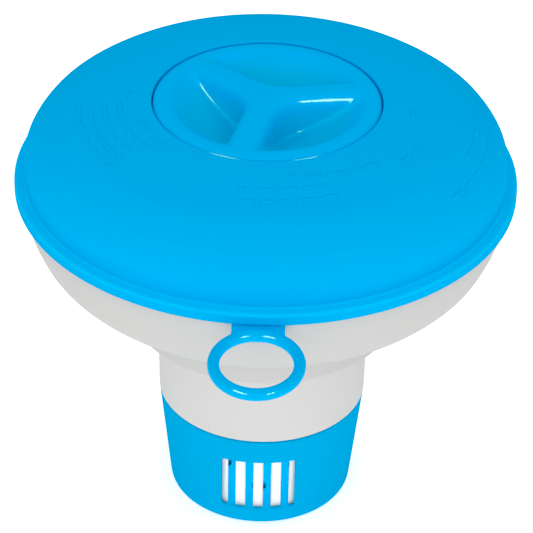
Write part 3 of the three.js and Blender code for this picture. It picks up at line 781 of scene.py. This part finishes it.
WORLD_STRENGTH, FLOOR_GLOW = 0.70, 0.48
FLOOR_HALF, FLOOR_Z = 6.0, -0.0002
floor = link("floor", bpy.data.meshes.new("floor"))
floor.data.from_pydata(
    [(-FLOOR_HALF, -FLOOR_HALF, FLOOR_Z), (FLOOR_HALF, -FLOOR_HALF, FLOOR_Z),
     (FLOOR_HALF, FLOOR_HALF, FLOOR_Z), (-FLOOR_HALF, FLOOR_HALF, FLOOR_Z)], [], [(0, 1, 2, 3)])
floor_paint = bpy.data.materials.new("floor_paint")
floor_paint.use_nodes = True
paint = floor_paint.node_tree.nodes["Principled BSDF"]
paint.inputs["Base Color"].default_value = (0.85, 0.85, 0.85, 1)
paint.inputs["Roughness"].default_value = 0.9
paint.inputs["Specular IOR Level"].default_value = 0.1
paint.inputs["Emission Color"].default_value = (1, 1, 1, 1)
paint.inputs["Emission Strength"].default_value = FLOOR_GLOW
floor.data.materials.append(floor_paint)

# The glowing floor has no contact shadow, so a dark pad under the cup's base is a painted contact shadow that
# keeps the drain holes dark.
PAD_R, PAD_Z, PAD_SIDES = 0.028, -0.0001, 48
shadow_pad = link("shadow_pad", bpy.data.meshes.new("shadow_pad"))
pad_turns = [k * math.pi / (PAD_SIDES / 2) for k in range(PAD_SIDES)]
shadow_pad.data.from_pydata(
    [(PAD_R * math.cos(a), PAD_R * math.sin(a), PAD_Z) for a in pad_turns], [], [tuple(range(PAD_SIDES))])
shadow_pad_paint = bpy.data.materials.new("shadow_pad_paint")
shadow_pad_paint.use_nodes = True
shadow_pad_paint.node_tree.nodes["Principled BSDF"].inputs["Base Color"].default_value = (0.01, 0.09, 0.18, 1)
shadow_pad.data.materials.append(shadow_pad_paint)

world = bpy.data.worlds.new("studio")
world.use_nodes = True
world.node_tree.nodes["Background"].inputs["Color"].default_value = (1, 1, 1, 1)
world.node_tree.nodes["Background"].inputs["Strength"].default_value = WORLD_STRENGTH
scene.world = world

GLINT_COLOUR = (0.55, 1.0, 0.35)        # with this tint the glints come out white on the blue
AIM = Vector((0, 0, 0.1))               # what the boxes are aimed at, in metres


def softbox(name, direction, distance, width, height, power, only_gloss=False):
    """An area light at a distance from the middle of the object and aimed at it.

    direction is (azimuth, elevation) in degrees, with azimuth 0 at -Y. An only_gloss box makes glints and
    gives no other light.
    """
    a, e = (math.radians(v) for v in direction)
    back = Vector((math.sin(a) * math.cos(e), -math.cos(a) * math.cos(e), math.sin(e)))
    data = bpy.data.lights.new(name, "AREA")
    data.shape, data.size, data.size_y, data.energy = "RECTANGLE", width, height, power
    light = bpy.data.objects.new(name, data)
    scene.collection.objects.link(light)
    light.location = AIM + back * distance
    light.rotation_mode = "QUATERNION"
    light.rotation_quaternion = (-back).to_track_quat("-Z", "Y")
    if only_gloss:
        light.visible_diffuse = False
        data.color = GLINT_COLOUR


softbox("left_strip", (-40, 43), 1.3, 0.6, 0.35, 85, only_gloss=True)
softbox("right_strip", (42, 43), 1.3, 0.42, 0.3, 45, only_gloss=True)
softbox("front_box", (0, 26), 1.6, 2.4, 0.9, 9)
softbox("left_box", (-90, 58), 1.4, 0.9, 0.9, 2)
softbox("right_box", (90, 58), 1.4, 0.9, 0.9, 2)

# A small hidden lamp in the tablet tube stands for the daylight that soaks through the real thin walls.
glow = bpy.data.lights.new("tube_glow", "AREA")
glow.shape, glow.size, glow.energy = "DISK", 0.05, 0.03
glow_lamp = bpy.data.objects.new("tube_glow", glow)
scene.collection.objects.link(glow_lamp)
glow_lamp.location = (0, 0, 0.06)
glow_lamp.visible_camera = False

CAMERA_AZIMUTH, CAMERA_YAW = math.radians(0.95), math.radians(0.06)
CAMERA_TILT, CAMERA_ROLL = math.radians(34.25), math.radians(1.2)
CAMERA_OUT, CAMERA_UP = 0.84894, 0.6708     # distance from the axis and height, in metres
camera = bpy.data.objects.new("camera", bpy.data.cameras.new("camera"))
scene.collection.objects.link(camera)
scene.camera = camera
camera.data.sensor_width = 36
camera.data.lens = 191.25
heading = CAMERA_AZIMUTH - CAMERA_YAW
ahead = Vector((-math.sin(heading) * math.cos(CAMERA_TILT), math.cos(heading) * math.cos(CAMERA_TILT),
                -math.sin(CAMERA_TILT)))
level_right = Vector((math.cos(heading), math.sin(heading), 0))
level_up = level_right.cross(ahead)
right = level_right * math.cos(CAMERA_ROLL) + level_up * math.sin(CAMERA_ROLL)
up = right.cross(ahead)
camera.matrix_world = Matrix((
    (right.x, up.x, -ahead.x, math.sin(CAMERA_AZIMUTH) * CAMERA_OUT),
    (right.y, up.y, -ahead.y, -math.cos(CAMERA_AZIMUTH) * CAMERA_OUT),
    (right.z, up.z, -ahead.z, CAMERA_UP),
    (0, 0, 0, 1),
))
